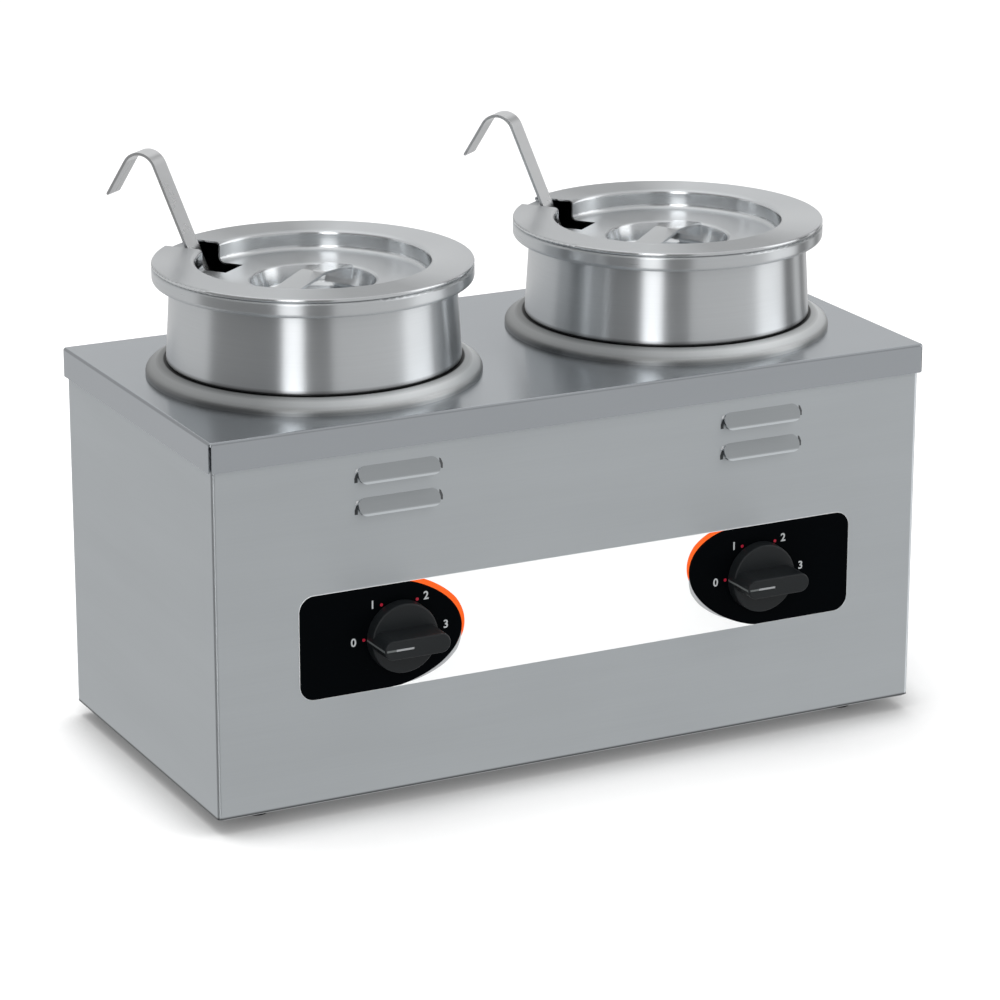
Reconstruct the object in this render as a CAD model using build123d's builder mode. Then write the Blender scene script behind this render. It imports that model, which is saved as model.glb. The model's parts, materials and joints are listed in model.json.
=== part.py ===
from build123d import *
import math
import os

# Countertop food warmer: two heated wells under one deck, each with a lidded inset and a ladle.
# Millimetres, +Z up, the knobs face -Y. The origin is the middle of the footprint of the
# whole object, knobs and cord gland included, on the surface that the feet stand on.

os.makedirs("parts", exist_ok=True)

# Sheet metal body
sheet = 1.0
deck_width = 444.5
deck_margin = 23.25
base_space = 57.4
deck_flange = 17.0
deck_fit = 0.8
deck_bend = 2.0
deck_edge = 1.8
corner_seam = 1.6
seam_reach = 5.0
body_bend = 2.5
rear_flange = 14.0
top_flange = 12.0
bottom_flange = 14.0
panel_fit = 0.5
base_inset = 1.5

# Louvres in the front, two above each knob
louvre_width = 48.8
louvre_height = 9.4
louvre_reach = 4.0
louvre_lip = 1.2
louvre_corner = 4.6
louvre_skin = 0.9
louvre_slot_drop = 0.5
louvre_pitch = 18.0
louvre_from_top = 52.4

# Control label and knobs
label_x = 2.2
label_z = 90.3
label_width = 347.0
label_height = 60.0
label_corner = 9.0
label_thick = 0.5
label_hole_fit = 0.5
knob_pitch = 227.0
knob_radius = 20.2
knob_gap = 1.0
knob_skirt = 7.0
knob_skirt_taper = 3.0
knob_reach = 24.5
knob_edge = 1.0
knob_recess_radius = 17.0
knob_recess = 4.0
knob_boss_radius = 6.0
grip_width = 11.8
grip_taper = 1.0
grip_edge = 1.0
pointer_width = 1.5
pointer_depth = 0.4
pointer_length = 18.0
shaft_radius = 3.0
shaft_fit = 0.05
shaft_hole_fit = 0.5
shaft_in_knob = 14.0
shaft_in_switch = 9.0

# Rotary heat switches behind the front
switch_width = 32.0
switch_depth = 14.0
switch_edge = 2.0
switch_screw_pitch = 24.0
switch_screw_radius = 1.5
switch_head_radius = 2.8
switch_head = 1.8
switch_screw_length = 7.0
blade_width = 6.3
blade_thick = 0.8
blade_length = 7.0
blade_pitch = 10.0

# Wells and their raised rings
well_spread = 3.15
well_radius = 84.0
well_depth = 157.0
well_corner = 10.0
well_lip = 7.0
well_lip_bend = 2.0
deck_hole_fit = 1.5
ring_spread = 10.4
ring_overhang = 4.5
ring_height = 8.0
ring_edge = 3.2
ring_shoulder_spread = 2.5
ring_skirt = 3.0
ring_sheet = 0.9
ring_bore_bend = 1.2
ring_shoulder_bend = 6.0
ring_edge_bend = 3.0

# Insets
inset_sheet = 0.9
inset_clear = 12.5
rim_height = 61.7
rim_reach = 10.2
rim_roll = 8.7
rim_curl_reach = 4.4
neck_set_in = 3.2
foot_flare_reach = 4.3
inset_fit = 1.0
inset_floor_set_in = 3.0
inset_floor_corner = 16.0
shoulder_bend = 1.4
foot_flare_bend = 0.6
neck_bend = 2.0
rim_edge = 1.6
rim_hem = 2.4

# Lids
lid_sheet = 0.9
lid_height = 2.4
lid_edge = 1.2
lid_hem = 1.0
recess_set_in = 14.1
recess_depth = 11.6
recess_corner = 3.2
recess_rim = 2.5
dimple_radius = 35.5
dimple_floor_radius = 31.0
dimple_depth = 12.0
dimple_corner = 4.0
dimple_rim = 2.0
notch_width = 20.0
notch_reach = 15.5
notch_angle = 128.0
handle_angle = 38.0
handle_width = 15.0
handle_sheet = 1.5
handle_tab = 7.0
handle_rise = 3.5
handle_shoulder = 1.0
handle_bend = 3.0
handle_crown = 36.0

# Ladles
ladle_lean = 24.0
ladle_pass_clear = 2.1
ladle_width = 12.7
ladle_sheet = 1.6
hook_corner_rise = 62.0
hook_turn = 125.0
hook_radius = 10.4
hook_drop = 43.0
bowl_from_wall = 47.5
bowl_sheet = 1.2
bowl_wall = 6.0
ladle_tab = 4.0
weld_gap = 0.05
rest_gap = 0.3

# Heating under each well
insulation_thick = 11.5
insulation_top = 16.0
insulation_short = 7.0
insulation_opening = 70.0
insulation_clear = 3.0
element_ring_radius = 55.0
element_radius = 3.5
element_gap_angle = 30.0
element_bend = 9.0
element_leg = 10.0
element_pin_radius = 1.5
element_pin = 7.0
clamp_length = 132.0
clamp_width = 24.0
clamp_thick = 2.0
stud_radius = 3.0
stud_fit = 0.1
stud_spare = 3.0
nut_width = 10.0
nut_height = 5.0
limiter_radius = 8.0
limiter_height = 9.0
limiter_y = 26.0
limiter_ear = 24.0

# Base, feet and electrical inlet
foot_height = 8.2
foot_top_radius = 7.8
foot_low_radius = 6.8
foot_from_side = 32.6
foot_from_front = 25.0
foot_screw_radius = 2.0
foot_head_radius = 3.6
foot_head = 1.4
foot_head_cover = 3.0
foot_nut_width = 7.0
foot_nut_height = 3.0
thread_fit = 0.05
vent_length = 34.0
vent_width = 4.0
vent_pitch_x = 46.0
vent_pitch_y = 12.0
gland_from_side = 70.4
gland_rise = 31.0
gland_bore_radius = 4.5
gland_barrel_radius = 8.0
gland_flange_radius = 12.0
gland_reach = 8.0
gland_edge = 1.8
gland_nut_width = 22.0
gland_nut_height = 5.0
gland_barrel = 16.0
block_width = 62.0
block_depth = 24.0
block_height = 17.0
block_from_rear = 42.4
block_ways = 4
block_way_pitch = 14.0
block_groove_width = 9.0
block_groove = 6.0

# Wires inside the housing
wire_radius = 1.1
wire_bend = 6.0
wire_level = 4.4
wire_turn_y = 45.0
wire_pass_y = 20.0
wire_pin_run = 25.0
wire_switch_run = 30.0
wire_side = 30.0

# Sheet metal screws
screw_radius = 1.7
screw_head_radius = 3.6
screw_head = 1.8
screw_head_round = 0.8
screw_length = 7.0
screw_hole_fit = 0.1
rear_screw_pitch = 78.0
deck_screw_pitch = 150.0
base_screw_pitch = 90.0

# Sizes that follow from the wells
deck_depth = 2 * (well_radius + deck_margin)
well_pitch = deck_width / 2 + well_spread
body_height = well_depth + base_space
ring_bore_radius = well_radius - ring_overhang
ring_shoulder_radius = well_radius + ring_shoulder_spread
ring_radius = well_radius + ring_spread
inset_depth = rim_height + well_depth - inset_clear
inset_body_radius = ring_bore_radius - inset_fit
inset_floor_radius = inset_body_radius - inset_floor_set_in
foot_flare_radius = inset_body_radius + foot_flare_reach
neck_radius = foot_flare_radius - neck_set_in
rim_radius = neck_radius + rim_reach
rim_curl_radius = neck_radius + rim_curl_reach
recess_radius = neck_radius - recess_set_in
notch_inner_radius = recess_radius - notch_reach
ladle_pass_radius = neck_radius - ladle_pass_clear
bowl_radius = inset_floor_radius - bowl_from_wall
insulation_bottom = well_depth - insulation_short
louvre_low = body_height - louvre_from_top

# Places that follow from the sizes
body_bottom = foot_height + sheet
deck_top = body_bottom + body_height
deck_under = deck_top - sheet
body_half_width = deck_width / 2 - sheet - deck_fit
body_half_depth = deck_depth / 2 - sheet - deck_fit
inner_half_width = body_half_width - sheet
inner_half_depth = body_half_depth - sheet
body_y = (knob_reach - gland_reach) / 2
front_y = body_y - body_half_depth
rear_y = body_y + body_half_depth
rear_panel_y = body_y + inner_half_depth
switch_face_y = front_y + sheet
knob_z = body_bottom + label_z
deck_rear_y = body_y + deck_depth / 2
block_y = inner_half_depth - block_from_rear
gland_x = body_half_width - gland_from_side
gland_z = body_bottom + gland_rise
sides = {"left": -1, "right": 1}


def upright(x, y, z):
    """A plane facing the front, with its x to the right and its y up."""
    return Plane(origin=(x, y, z), x_dir=(1, 0, 0), z_dir=(0, -1, 0))


def level(z):
    """A level plane on the middle of the body."""
    return Plane(origin=(0, body_y, z))


def at_knobs(z=0.0):
    """The two knob centres, seen from the front, z above the knobs."""
    return [(label_x + sign * knob_pitch / 2, knob_z + z) for sign in sides.values()]


def u_flange(width):
    """Sketches a flange of this width along the front and both sides, inside the walls."""
    length = 2 * inner_half_depth - sheet - panel_fit
    middle = -(sheet + panel_fit) / 2
    with Locations((0, middle)):
        Rectangle(2 * inner_half_width, length)
    with Locations((0, middle + width)):
        Rectangle(2 * (inner_half_width - width), length, mode=Mode.SUBTRACT)


def louvre_form(width, height, reach, skin, drop):
    """A louvre hood, or its hollow: from the front it slopes out to a straight lower edge."""
    back = reach - louvre_reach - sheet
    with BuildPart() as form:
        with BuildSketch(upright(0, front_y - back, -drop)) as outline:
            Rectangle(width, height + drop, align=(Align.CENTER, Align.MIN))
            fillet(outline.vertices().group_by(Axis.Z)[-1], louvre_corner - skin)
        extrude(amount=reach - back)
        with BuildSketch(Plane(origin=(0, front_y, 0), x_dir=(0, -1, 0), z_dir=(-1, 0, 0))):
            Polygon(
                (back, -drop),
                (reach, -drop),
                (reach, louvre_lip),
                (-skin, height),
                (back, height),
                align=None,
            )
        extrude(amount=width / 2, both=True, mode=Mode.INTERSECT)
    return form.part


def base_screw_places():
    """The six screws that hold the base to the flanges of the shell."""
    x = inner_half_width - bottom_flange / 2
    return [(sign * x, row * base_screw_pitch) for sign in (-1, 1) for row in (-1, 0, 1)]


def foot_places():
    """The four feet, from the sides and from the front and rear of the body."""
    x = body_half_width - foot_from_side
    y = body_half_depth - foot_from_front
    return [(sx * x, sy * y) for sx in (-1, 1) for sy in (-1, 1)]


def rear_screw_places():
    """The six screws along the two rear flanges of the shell."""
    x = body_half_width - rear_flange / 2
    middle = body_bottom + (body_height - deck_flange) / 2
    return [(sign * x, middle + row * rear_screw_pitch) for sign in (-1, 1) for row in (-1, 0, 1)]


def deck_screw_places():
    """The three screws through the rear flange of the deck."""
    z = deck_top - deck_flange / 2
    return [(step * deck_screw_pitch, z) for step in (-1, 0, 1)]


def facing_rear(y):
    """A plane facing the rear."""
    return Plane(origin=(0, y, 0), x_dir=(-1, 0, 0), z_dir=(0, 1, 0))


def screw_set(plane, places, length):
    """Pan-head sheet metal screws at the places of a plane, heads on its outer side."""
    with BuildPart() as screws:
        with BuildSketch(plane):
            with Locations(*places):
                Circle(screw_radius)
        extrude(amount=-length)
        with BuildSketch(plane):
            with Locations(*places):
                Circle(screw_head_radius)
        extrude(amount=screw_head)
        outward = Axis(plane.origin, plane.z_dir)
        tops = screws.faces().sort_by(outward)[-len(places) :]
        fillet([edge for top in tops for edge in top.edges()], screw_head_round)
    return screws


# Deck cover
well_outer_radius = well_radius + sheet
deck_hole_radius = well_outer_radius + deck_hole_fit
well_places = [(sign * well_pitch / 2, 0) for sign in sides.values()]

with BuildPart() as deck_cover:
    with BuildSketch(level(deck_top - deck_flange)):
        RectangleRounded(deck_width, deck_depth, deck_bend)
    extrude(amount=deck_flange)
    fillet(deck_cover.edges().group_by(Axis.Z)[-1], deck_edge)
    offset(amount=-sheet, openings=deck_cover.faces().sort_by(Axis.Z)[0])
    for sx in (-1, 1):
        for sy in (-1, 1):
            with BuildSketch(level(deck_top - deck_flange)):
                with Locations((sx * deck_width / 2, sy * deck_depth / 2)):
                    Rectangle(2 * seam_reach, corner_seam, rotation=45 * sx * sy)
            extrude(amount=deck_flange - deck_bend, mode=Mode.SUBTRACT)
    with BuildSketch(level(deck_top)):
        with Locations(*well_places):
            Circle(deck_hole_radius)
    extrude(amount=-2 * sheet, mode=Mode.SUBTRACT)
    with BuildSketch(upright(0, deck_rear_y, 0)):
        with Locations(*deck_screw_places()):
            Circle(screw_radius + screw_hole_fit)
    extrude(amount=2 * sheet, mode=Mode.SUBTRACT)
deck_cover.part.label = "deck_cover"
export_step(deck_cover.part, "parts/deck_cover.step")

# Body shell: front and sides in one sheet, with flanges at the rear, top and bottom
hood = louvre_form(louvre_width, louvre_height, louvre_reach, 0, 0)
hollow = louvre_form(
    louvre_width - 2 * louvre_skin,
    louvre_height - louvre_skin,
    louvre_reach - louvre_skin,
    louvre_skin,
    louvre_slot_drop,
)
louvre_places = [
    Location((x, 0, body_bottom + louvre_low + row * louvre_pitch))
    for x, z in at_knobs()
    for row in (0, 1)
]

with BuildPart() as body_shell:
    with BuildSketch(level(body_bottom)):
        RectangleRounded(2 * body_half_width, 2 * body_half_depth, body_bend)
        RectangleRounded(
            2 * inner_half_width, 2 * inner_half_depth, body_bend - sheet, mode=Mode.SUBTRACT
        )
        with Locations((0, body_half_depth)):
            Rectangle(2 * (body_half_width - rear_flange), 4 * sheet, mode=Mode.SUBTRACT)
    extrude(amount=deck_under - body_bottom)
    with BuildSketch(level(deck_under)):
        u_flange(top_flange)
        with Locations(*well_places):
            Circle(deck_hole_radius, mode=Mode.SUBTRACT)
    extrude(amount=-sheet)
    with BuildSketch(level(body_bottom)):
        u_flange(bottom_flange)
    extrude(amount=sheet)
    for place in louvre_places:
        add(hood.moved(place))
        add(hollow.moved(place), mode=Mode.SUBTRACT)
    with BuildSketch(upright(0, front_y, 0)):
        with Locations(*at_knobs()):
            Circle(shaft_radius + shaft_hole_fit)
        with Locations(*at_knobs(switch_screw_pitch / 2), *at_knobs(-switch_screw_pitch / 2)):
            Circle(switch_screw_radius + screw_hole_fit)
    extrude(amount=-2 * sheet, mode=Mode.SUBTRACT)
    with BuildSketch(upright(0, rear_y, 0)):
        with Locations(*rear_screw_places()):
            Circle(screw_radius + screw_hole_fit)
    extrude(amount=2 * sheet, mode=Mode.SUBTRACT)
    with BuildSketch(level(body_bottom)):
        with Locations(*base_screw_places()):
            Circle(screw_radius + screw_hole_fit)
    extrude(amount=2 * sheet, mode=Mode.SUBTRACT)
body_shell.part.label = "body_shell"
export_step(body_shell.part, "parts/body_shell.step")

# Rear panel, inside the flanges of the shell
rear_panel_half = inner_half_width - (body_bend - sheet) - panel_fit
rear_flange_half = inner_half_width - bottom_flange - panel_fit
with BuildPart() as rear_panel:
    with BuildSketch(upright(0, rear_panel_y, body_bottom)):
        Rectangle(
            2 * rear_panel_half,
            deck_under - body_bottom,
            align=(Align.CENTER, Align.MIN),
        )
    extrude(amount=sheet)
    with BuildSketch(Plane(origin=(0, rear_panel_y - sheet, body_bottom))):
        Rectangle(2 * rear_flange_half, bottom_flange, align=(Align.CENTER, Align.MAX))
    extrude(amount=sheet)
    with BuildSketch(upright(0, rear_panel_y, 0)):
        with Locations(*rear_screw_places(), *deck_screw_places()):
            Circle(screw_radius + screw_hole_fit)
        with Locations((gland_x, gland_z)):
            Circle(gland_barrel_radius + label_hole_fit)
    extrude(amount=2 * sheet, mode=Mode.SUBTRACT)
rear_panel.part.label = "rear_panel"
export_step(rear_panel.part, "parts/rear_panel.step")

# Base panel under the flanges of the shell
with BuildPart() as base_panel:
    with BuildSketch(level(foot_height)):
        RectangleRounded(
            2 * (body_half_width - base_inset), 2 * (body_half_depth - base_inset), body_bend
        )
        with Locations(*base_screw_places()):
            Circle(screw_radius + screw_hole_fit, mode=Mode.SUBTRACT)
        with Locations(*foot_places()):
            Circle(foot_screw_radius + screw_hole_fit, mode=Mode.SUBTRACT)
        with Locations(*well_places):
            with GridLocations(vent_pitch_x, vent_pitch_y, 2, 4):
                SlotOverall(vent_length, vent_width, mode=Mode.SUBTRACT)
    extrude(amount=sheet)
base_panel.part.label = "base_panel"
export_step(base_panel.part, "parts/base_panel.step")

# Rubber feet with a sunk screw
head_floor = foot_head_cover + foot_head
with BuildPart(level(0)) as feet:
    with Locations(*foot_places()):
        Cone(
            foot_low_radius,
            foot_top_radius,
            foot_height,
            align=(Align.CENTER, Align.CENTER, Align.MIN),
        )
    with BuildSketch(level(0)):
        with Locations(*foot_places()):
            Circle(foot_screw_radius + thread_fit)
    extrude(amount=foot_height, mode=Mode.SUBTRACT)
    with BuildSketch(level(0)):
        with Locations(*foot_places()):
            Circle(foot_head_radius + thread_fit)
    extrude(amount=head_floor, mode=Mode.SUBTRACT)
feet.part.label = "feet"
export_step(feet.part, "parts/feet.step")

with BuildPart() as foot_screws:
    with BuildSketch(level(head_floor)):
        with Locations(*foot_places()):
            Circle(foot_screw_radius)
    extrude(amount=body_bottom + foot_nut_height + sheet - head_floor)
    with BuildSketch(level(foot_head_cover)):
        with Locations(*foot_places()):
            Circle(foot_head_radius)
    extrude(amount=foot_head)
foot_screws.part.label = "foot_screws"
export_step(foot_screws.part, "parts/foot_screws.step")

with BuildPart() as foot_nuts:
    with BuildSketch(level(body_bottom)):
        with Locations(*foot_places()):
            RegularPolygon(foot_nut_width / 2, 6, major_radius=False)
            Circle(foot_screw_radius + thread_fit, mode=Mode.SUBTRACT)
    extrude(amount=foot_nut_height)
foot_nuts.part.label = "foot_nuts"
export_step(foot_nuts.part, "parts/foot_nuts.step")

# Screws of the rear panel, the deck and the base
rear_screws = screw_set(facing_rear(rear_y), rear_screw_places(), screw_length)
rear_screws.part.label = "rear_screws"
export_step(rear_screws.part, "parts/rear_screws.step")

deck_screws = screw_set(facing_rear(deck_rear_y), deck_screw_places(), screw_length)
deck_screws.part.label = "deck_screws"
export_step(deck_screws.part, "parts/deck_screws.step")

under_base = Plane(origin=(0, body_y, foot_height), x_dir=(1, 0, 0), z_dir=(0, 0, -1))
base_screws = screw_set(under_base, base_screw_places(), screw_length)
base_screws.part.label = "base_screws"
export_step(base_screws.part, "parts/base_screws.step")

# Control label, a thin plate stuck on the front
with BuildPart() as control_label:
    with BuildSketch(upright(label_x, front_y, knob_z)):
        RectangleRounded(label_width, label_height, label_corner)
        with Locations((-knob_pitch / 2, 0), (knob_pitch / 2, 0)):
            Circle(shaft_radius + shaft_hole_fit, mode=Mode.SUBTRACT)
            with Locations((0, switch_screw_pitch / 2), (0, -switch_screw_pitch / 2)):
                Circle(switch_screw_radius + screw_hole_fit, mode=Mode.SUBTRACT)
    extrude(amount=label_thick)
control_label.part.label = "control_label"
export_step(control_label.part, "parts/control_label.step")

# Screws that hold the switches, under the knobs
with BuildPart() as switch_screws:
    places = at_knobs(switch_screw_pitch / 2) + at_knobs(-switch_screw_pitch / 2)
    with BuildSketch(upright(0, front_y - label_thick, 0)):
        with Locations(*places):
            Circle(switch_head_radius)
    extrude(amount=switch_head)
    with BuildSketch(upright(0, front_y - label_thick, 0)):
        with Locations(*places):
            Circle(switch_screw_radius)
    extrude(amount=-switch_screw_length)
switch_screws.part.label = "switch_screws"
export_step(switch_screws.part, "parts/switch_screws.step")

# Terminal block, cord gland and its nut
with BuildPart() as terminal_block:
    with BuildSketch(Plane(origin=(0, body_y + block_y, body_bottom))):
        Rectangle(block_width, block_depth)
    extrude(amount=block_height)
    fillet(terminal_block.edges().filter_by(Axis.Z), switch_edge)
    block_top = Plane(origin=(0, body_y + block_y, body_bottom + block_height))
    with BuildSketch(block_top):
        with GridLocations(block_way_pitch, 0, block_ways, 1):
            Rectangle(block_groove_width, block_depth)
    extrude(amount=-block_groove, mode=Mode.SUBTRACT)
terminal_block.part.label = "terminal_block"
export_step(terminal_block.part, "parts/terminal_block.step")

with BuildPart() as terminal_screws:
    with BuildSketch(block_top.offset(-block_groove)):
        with GridLocations(block_way_pitch, block_depth / 2, block_ways, 2):
            Circle(switch_head_radius)
    extrude(amount=switch_head)
terminal_screws.part.label = "terminal_screws"
export_step(terminal_screws.part, "parts/terminal_screws.step")

with BuildPart() as cord_gland:
    with BuildSketch(upright(gland_x, rear_panel_y, gland_z)):
        Circle(gland_flange_radius)
    extrude(amount=-sheet - gland_reach)
    fillet(cord_gland.edges().sort_by(Axis.Y)[-1], gland_edge)
    with BuildSketch(upright(gland_x, rear_panel_y, gland_z)):
        Circle(gland_barrel_radius)
    extrude(amount=gland_barrel)
    with BuildSketch(upright(gland_x, rear_y + gland_reach, gland_z)):
        Circle(gland_bore_radius)
    extrude(amount=gland_reach + sheet + gland_barrel, mode=Mode.SUBTRACT)
cord_gland.part.label = "cord_gland"
export_step(cord_gland.part, "parts/cord_gland.step")

with BuildPart() as gland_nut:
    with BuildSketch(upright(gland_x, rear_panel_y - sheet, gland_z)):
        RegularPolygon(gland_nut_width / 2, 6, major_radius=False)
        Circle(gland_barrel_radius + thread_fit, mode=Mode.SUBTRACT)
    extrude(amount=gland_nut_height)
gland_nut.part.label = "gland_nut"
export_step(gland_nut.part, "parts/gland_nut.step")

# Heights of the pots, measured from the top of the deck
well_floor = -well_depth
well_under = well_floor - sheet
shoulder_height = ring_height + inset_sheet
inset_floor = rim_height - inset_depth + inset_sheet
lid_top = rim_height + lid_height
recess_floor = lid_top - recess_depth
dimple_floor = recess_floor - dimple_depth
element_z = well_under - rest_gap - element_radius
clamp_top = element_z - element_radius - rest_gap
clamp_under = clamp_top - clamp_thick
lean = math.radians(ladle_lean)
along_lean = (math.sin(lean), math.cos(lean))
hook_corner = (
    ladle_pass_radius + hook_corner_rise * math.tan(lean),
    lid_top + hook_corner_rise,
)
tip_angle = math.radians(90 - ladle_lean - hook_turn)
hook_tip = (
    hook_corner[0] + hook_drop * math.cos(tip_angle),
    hook_corner[1] + hook_drop * math.sin(tip_angle),
)
bowl_outer_radius = bowl_radius + bowl_sheet
bowl_z = inset_floor + rest_gap + bowl_outer_radius
handle_r_at_bowl = ladle_pass_radius - (lid_top - bowl_z) * math.tan(lean)
handle_from_bowl = bowl_outer_radius + weld_gap + ladle_sheet / 2
bowl_r = handle_r_at_bowl - handle_from_bowl / math.cos(lean)
handle_foot = (
    bowl_r + handle_from_bowl * along_lean[1] - ladle_tab * along_lean[0],
    bowl_z - handle_from_bowl * along_lean[0] - ladle_tab * along_lean[1],
)


def at_dimple_wall(z):
    """The radius just inside the sloping wall of the dimple, which also goes on above it."""
    slope = (dimple_radius - dimple_floor_radius) / dimple_depth
    return dimple_floor_radius - weld_gap + slope * (z - dimple_floor)


strap_shoulder = (at_dimple_wall(recess_floor), recess_floor + handle_shoulder)
strap_foot = (at_dimple_wall(recess_floor - handle_tab), recess_floor - handle_tab)


def notch_frame(pot_x, r=0.0, z=0.0):
    """The upright plane of a pot through the notch and the ladle, its x pointing out."""
    angle = math.radians(notch_angle)
    out = Vector(math.cos(angle), math.sin(angle), 0)
    side = Vector(math.sin(angle), -math.cos(angle), 0)
    origin = Vector(pot_x, body_y, deck_top + z) + out * r
    return Plane(origin=origin, x_dir=out, z_dir=side)


for side, sign in sides.items():
    pot_x = sign * well_pitch / 2
    knob_x = label_x + sign * knob_pitch / 2
    pot_axis = Axis((pot_x, body_y, deck_top), (0, 0, 1))
    section = upright(pot_x, body_y, deck_top)

    # Deep-drawn well, hanging by its lip on the deck
    with BuildPart() as well:
        with BuildSketch(section):
            with BuildLine():
                FilletPolyline(
                    (0, well_floor),
                    (well_radius, well_floor),
                    (well_radius, sheet),
                    (well_radius + well_lip, sheet),
                    radius=[well_corner, well_lip_bend],
                )
                offset(amount=sheet, side=Side.RIGHT)
            make_face()
        revolve(axis=pot_axis)
    well.part.label = f"{side}_well"
    export_step(well.part, f"parts/{side}_well.step")

    # Raised ring over the lip of the well, which seats the inset
    with BuildPart() as well_ring:
        with BuildSketch(section):
            with BuildLine():
                FilletPolyline(
                    (ring_bore_radius, -ring_skirt),
                    (ring_bore_radius, ring_height),
                    (ring_shoulder_radius, ring_height),
                    (ring_radius, ring_edge),
                    (ring_radius, 0),
                    radius=[ring_bore_bend, ring_shoulder_bend, ring_edge_bend],
                )
                offset(amount=ring_sheet, side=Side.RIGHT)
            make_face()
        revolve(axis=pot_axis)
    well_ring.part.label = f"{side}_well_ring"
    export_step(well_ring.part, f"parts/{side}_well_ring.step")

    # Inset with a stacking shoulder and a rolled rim
    with BuildPart() as inset:
        with BuildSketch(section):
            with BuildLine():
                FilletPolyline(
                    (0, inset_floor),
                    (inset_floor_radius - inset_sheet, inset_floor),
                    (inset_body_radius - inset_sheet, shoulder_height),
                    (foot_flare_radius - inset_sheet, shoulder_height),
                    (neck_radius - inset_sheet, rim_height),
                    (rim_radius, rim_height),
                    (rim_radius, rim_height - rim_roll),
                    (rim_curl_radius, rim_height - rim_roll),
                    radius=[
                        inset_floor_corner,
                        shoulder_bend,
                        foot_flare_bend,
                        neck_bend,
                        rim_edge,
                        rim_hem,
                    ],
                )
                offset(amount=inset_sheet, side=Side.RIGHT)
            make_face()
        revolve(axis=pot_axis)
    inset.part.label = f"{side}_inset"
    export_step(inset.part, f"parts/{side}_inset.step")

    # Lid with a sunk middle, a finger dimple, a rolled edge and the ladle notch
    with BuildPart() as lid:
        with BuildSketch(section):
            with BuildLine():
                FilletPolyline(
                    (0, dimple_floor),
                    (dimple_floor_radius, dimple_floor),
                    (dimple_radius, recess_floor),
                    (recess_radius, recess_floor),
                    (recess_radius, lid_top),
                    (rim_radius, lid_top),
                    (rim_radius, rim_height),
                    (rim_curl_radius, rim_height),
                    radius=[
                        dimple_corner,
                        dimple_rim,
                        recess_corner,
                        recess_rim,
                        lid_edge,
                        lid_hem,
                    ],
                )
                offset(amount=lid_sheet, side=Side.RIGHT)
            make_face()
        revolve(axis=pot_axis)
        with BuildSketch(notch_frame(pot_x, notch_inner_radius, rim_height)):
            Rectangle(rim_radius, 2 * recess_depth, align=(Align.MIN, Align.CENTER))
        extrude(amount=notch_width / 2, both=True, mode=Mode.SUBTRACT)
    lid.part.label = f"{side}_lid"
    export_step(lid.part, f"parts/{side}_lid.step")

    # Strap handle across the dimple, its ends turned down along the wall
    strap_frame = Plane(
        section.origin,
        x_dir=section.x_dir.rotate(Axis.Z, handle_angle),
        z_dir=section.z_dir.rotate(Axis.Z, handle_angle),
    )
    with BuildPart() as lid_handle:
        with BuildSketch(strap_frame):
            with BuildLine():
                FilletPolyline(
                    (-strap_foot[0], strap_foot[1]),
                    (-strap_shoulder[0], strap_shoulder[1]),
                    (0, strap_shoulder[1] + handle_rise),
                    strap_shoulder,
                    strap_foot,
                    radius=[handle_bend, handle_crown, handle_bend],
                )
                offset(amount=handle_sheet, side=Side.RIGHT)
            make_face()
        extrude(amount=handle_width / 2, both=True)
        with BuildSketch(section):
            Polygon(
                (0, dimple_floor),
                (at_dimple_wall(dimple_floor), dimple_floor),
                (at_dimple_wall(lid_top), lid_top),
                (0, lid_top),
                align=None,
            )
        revolve(axis=pot_axis, mode=Mode.INTERSECT)
    lid_handle.part.label = f"{side}_lid_handle"
    export_step(lid_handle.part, f"parts/{side}_lid_handle.step")

    # Ladle bowl, tilted with its handle
    bowl_frame = notch_frame(pot_x, bowl_r, bowl_z)
    lean_dir = bowl_frame.from_local_coords(Vector(*along_lean)) - bowl_frame.origin
    bowl_section = Plane(
        bowl_frame.origin, x_dir=lean_dir.cross(bowl_frame.z_dir), z_dir=bowl_frame.z_dir
    )
    with BuildPart() as ladle_bowl:
        with BuildSketch(bowl_section):
            with BuildLine():
                CenterArc((0, 0), bowl_outer_radius, -90, 90)
                CenterArc((0, 0), bowl_radius, -90, 90)
                Line((0, -bowl_outer_radius), (0, -bowl_radius))
                Polyline(
                    (bowl_outer_radius, 0),
                    (bowl_outer_radius, bowl_wall),
                    (bowl_radius, bowl_wall),
                    (bowl_radius, 0),
                )
            make_face()
        revolve(axis=Axis(bowl_frame.origin, lean_dir))
    ladle_bowl.part.label = f"{side}_ladle_bowl"
    export_step(ladle_bowl.part, f"parts/{side}_ladle_bowl.step")

    # Flat ladle handle with its hook
    with BuildPart() as ladle_handle:
        with BuildSketch(notch_frame(pot_x)):
            with BuildLine():
                FilletPolyline(handle_foot, hook_corner, hook_tip, radius=hook_radius)
                offset(amount=ladle_sheet / 2, side=Side.BOTH)
            make_face()
        extrude(amount=ladle_width / 2, both=True)
    ladle_handle.part.label = f"{side}_ladle_handle"
    export_step(ladle_handle.part, f"parts/{side}_ladle_handle.step")

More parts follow.
